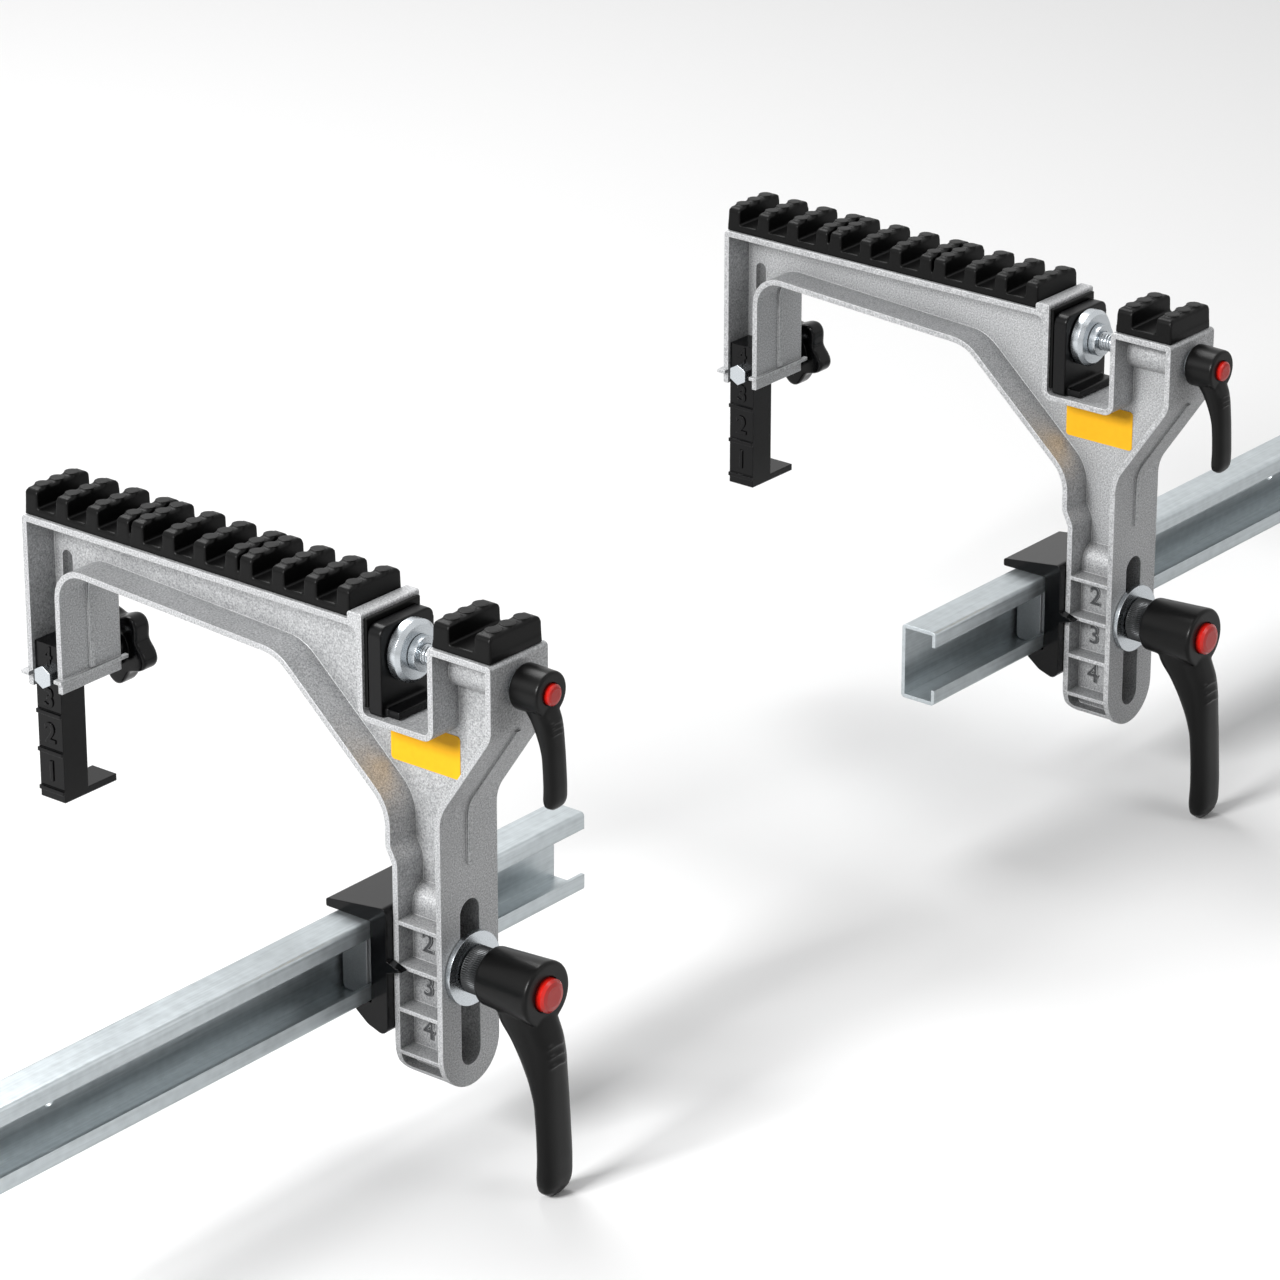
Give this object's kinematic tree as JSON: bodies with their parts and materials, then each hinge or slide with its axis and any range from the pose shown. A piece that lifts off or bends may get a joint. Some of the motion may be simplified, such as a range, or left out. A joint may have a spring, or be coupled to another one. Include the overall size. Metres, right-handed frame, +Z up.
{
  "type": "ski vise",
  "caption": "Pair of ski holding stations on bench rails, each with toothed rubber rests, a screw jaw, a lever clamp on the rail and a height-set back foot.",
  "frame": {"origin": "on the back face of the left rail, at the rail's mid height, under the middle of the left station", "axes": "+X along the rails from the left station to the right one, +Y back over the bench, +Z up"},
  "size_m": [1.185, 0.3216, 0.2805],
  "materials": {
    "cast_aluminium": "sand cast, lightly blasted",
    "pad_rubber": "moulded",
    "jaw_plastic": "moulded",
    "zinc_steel": "zinc plated",
    "galvanised_steel": "galvanised",
    "nut_metal": "die cast",
    "black_moulding": "glossy",
    "lever_black": "satin powder coat",
    "red_button": "glossy"
  },
  "bodies": {
    "bench_rails": {"left_rail": "galvanised_steel", "right_rail": "galvanised_steel"},
    "left_clamp": {"left_rail_bracket": "black_moulding", "left_rail_nut": "nut_metal", "left_clamp_stud": "zinc_steel", "left_clamp_washer": "zinc_steel"},
    "left_station": {"left_frame": "cast_aluminium", "left_comb_pads": "pad_rubber", "left_front_pad": "pad_rubber", "left_jaw_liner": "pad_rubber"},
    "left_clamp_handle": {"left_clamp_insert": "zinc_steel", "left_clamp_lever": "lever_black", "left_clamp_spring": "zinc_steel", "left_clamp_screw": "zinc_steel"},
    "left_clamp_push": {"left_clamp_button": "red_button"},
    "left_jaw": {"left_moving_jaw": "jaw_plastic", "left_pressure_disc": "zinc_steel"},
    "left_screw": {"left_spindle_collar": "zinc_steel", "left_jaw_spindle": "zinc_steel", "left_jaw_insert": "zinc_steel", "left_jaw_lever": "lever_black", "left_jaw_spring": "zinc_steel", "left_jaw_screw": "zinc_steel"},
    "left_jaw_push": {"left_jaw_button": "red_button"},
    "left_foot": {"left_foot_column": "black_moulding", "left_foot_bolt": "zinc_steel", "left_foot_washer": "zinc_steel"},
    "left_knob": {"left_foot_knob": "black_moulding"},
    "right_clamp": {"right_rail_bracket": "black_moulding", "right_rail_nut": "nut_metal", "right_clamp_stud": "zinc_steel", "right_clamp_washer": "zinc_steel"},
    "right_station": {"right_frame": "cast_aluminium", "right_comb_pads": "pad_rubber", "right_front_pad": "pad_rubber", "right_jaw_liner": "pad_rubber"},
    "right_clamp_handle": {"right_clamp_insert": "zinc_steel", "right_clamp_lever": "lever_black", "right_clamp_spring": "zinc_steel", "right_clamp_screw": "zinc_steel"},
    "right_clamp_push": {"right_clamp_button": "red_button"},
    "right_jaw": {"right_moving_jaw": "jaw_plastic", "right_pressure_disc": "zinc_steel"},
    "right_screw": {"right_spindle_collar": "zinc_steel", "right_jaw_spindle": "zinc_steel", "right_jaw_insert": "zinc_steel", "right_jaw_lever": "lever_black", "right_jaw_spring": "zinc_steel", "right_jaw_screw": "zinc_steel"},
    "right_jaw_push": {"right_jaw_button": "red_button"},
    "right_foot": {"right_foot_column": "black_moulding", "right_foot_bolt": "zinc_steel", "right_foot_washer": "zinc_steel"},
    "right_knob": {"right_foot_knob": "black_moulding"}
  },
  "joints": [
    {"name": "left_station_slide", "type": "slide", "parent": "bench_rails", "child": "left_clamp", "axis": [1, 0, 0], "range_m": [-0.24, 0.1]},
    {"name": "left_height_slide", "type": "slide", "parent": "left_clamp", "child": "left_station", "axis": [0, 0, 1], "range_m": [-0.02, 0.035]},
    {"name": "left_clamp_turn", "type": "hinge", "parent": "left_clamp", "child": "left_clamp_handle", "pos_m": [0, -0.09, 0], "axis": [0, 1, 0], "range_deg": [-100, 60]},
    {"name": "left_clamp_press", "type": "slide", "parent": "left_clamp_handle", "child": "left_clamp_push", "axis": [0, 1, 0], "range_m": [0, 0.0024], "stiffness_N_per_m": 500},
    {"name": "left_jaw_travel", "type": "slide", "parent": "left_station", "child": "left_jaw", "axis": [0, -1, 0], "range_m": [0, 0.016]},
    {"name": "left_screw_turn", "type": "hinge", "parent": "left_jaw", "child": "left_screw", "pos_m": [0, -0.06, 0.1495], "axis": [0, 1, 0], "range_deg": [0, 2880]},
    {"name": "left_jaw_press", "type": "slide", "parent": "left_screw", "child": "left_jaw_push", "axis": [0, 1, 0], "range_m": [0, 0.0015], "stiffness_N_per_m": 500},
    {"name": "left_foot_slide", "type": "slide", "parent": "left_station", "child": "left_foot", "axis": [0, 0, 1], "range_m": [0, 0.05]},
    {"name": "left_knob_turn", "type": "hinge", "parent": "left_foot", "child": "left_knob", "pos_m": [0.03, 0.1873, 0.0855], "axis": [1, 0, 0], "range_deg": [0, 720]},
    {"name": "right_station_slide", "type": "slide", "parent": "bench_rails", "child": "right_clamp", "axis": [1, 0, 0], "range_m": [-0.075, 0.28]},
    {"name": "right_height_slide", "type": "slide", "parent": "right_clamp", "child": "right_station", "axis": [0, 0, 1], "range_m": [-0.02, 0.035]},
    {"name": "right_clamp_turn", "type": "hinge", "parent": "right_clamp", "child": "right_clamp_handle", "pos_m": [0.538, -0.09, 0], "axis": [0, 1, 0], "range_deg": [-100, 60]},
    {"name": "right_clamp_press", "type": "slide", "parent": "right_clamp_handle", "child": "right_clamp_push", "axis": [0, 1, 0], "range_m": [0, 0.0024], "stiffness_N_per_m": 500},
    {"name": "right_jaw_travel", "type": "slide", "parent": "right_station", "child": "right_jaw", "axis": [0, -1, 0], "range_m": [0, 0.016]},
    {"name": "right_screw_turn", "type": "hinge", "parent": "right_jaw", "child": "right_screw", "pos_m": [0.538, -0.06, 0.1495], "axis": [0, 1, 0], "range_deg": [0, 2880]},
    {"name": "right_jaw_press", "type": "slide", "parent": "right_screw", "child": "right_jaw_push", "axis": [0, 1, 0], "range_m": [0, 0.0015], "stiffness_N_per_m": 500},
    {"name": "right_foot_slide", "type": "slide", "parent": "right_station", "child": "right_foot", "axis": [0, 0, 1], "range_m": [0, 0.05]},
    {"name": "right_knob_turn", "type": "hinge", "parent": "right_foot", "child": "right_knob", "pos_m": [0.568, 0.1873, 0.0855], "axis": [1, 0, 0], "range_deg": [0, 720]}
  ],
  "couplings": [
    {"joint": "left_screw_turn", "follows": "left_jaw_travel", "rad_per_m": 3141.6},
    {"joint": "right_screw_turn", "follows": "right_jaw_travel", "rad_per_m": 3141.6}
  ]
}
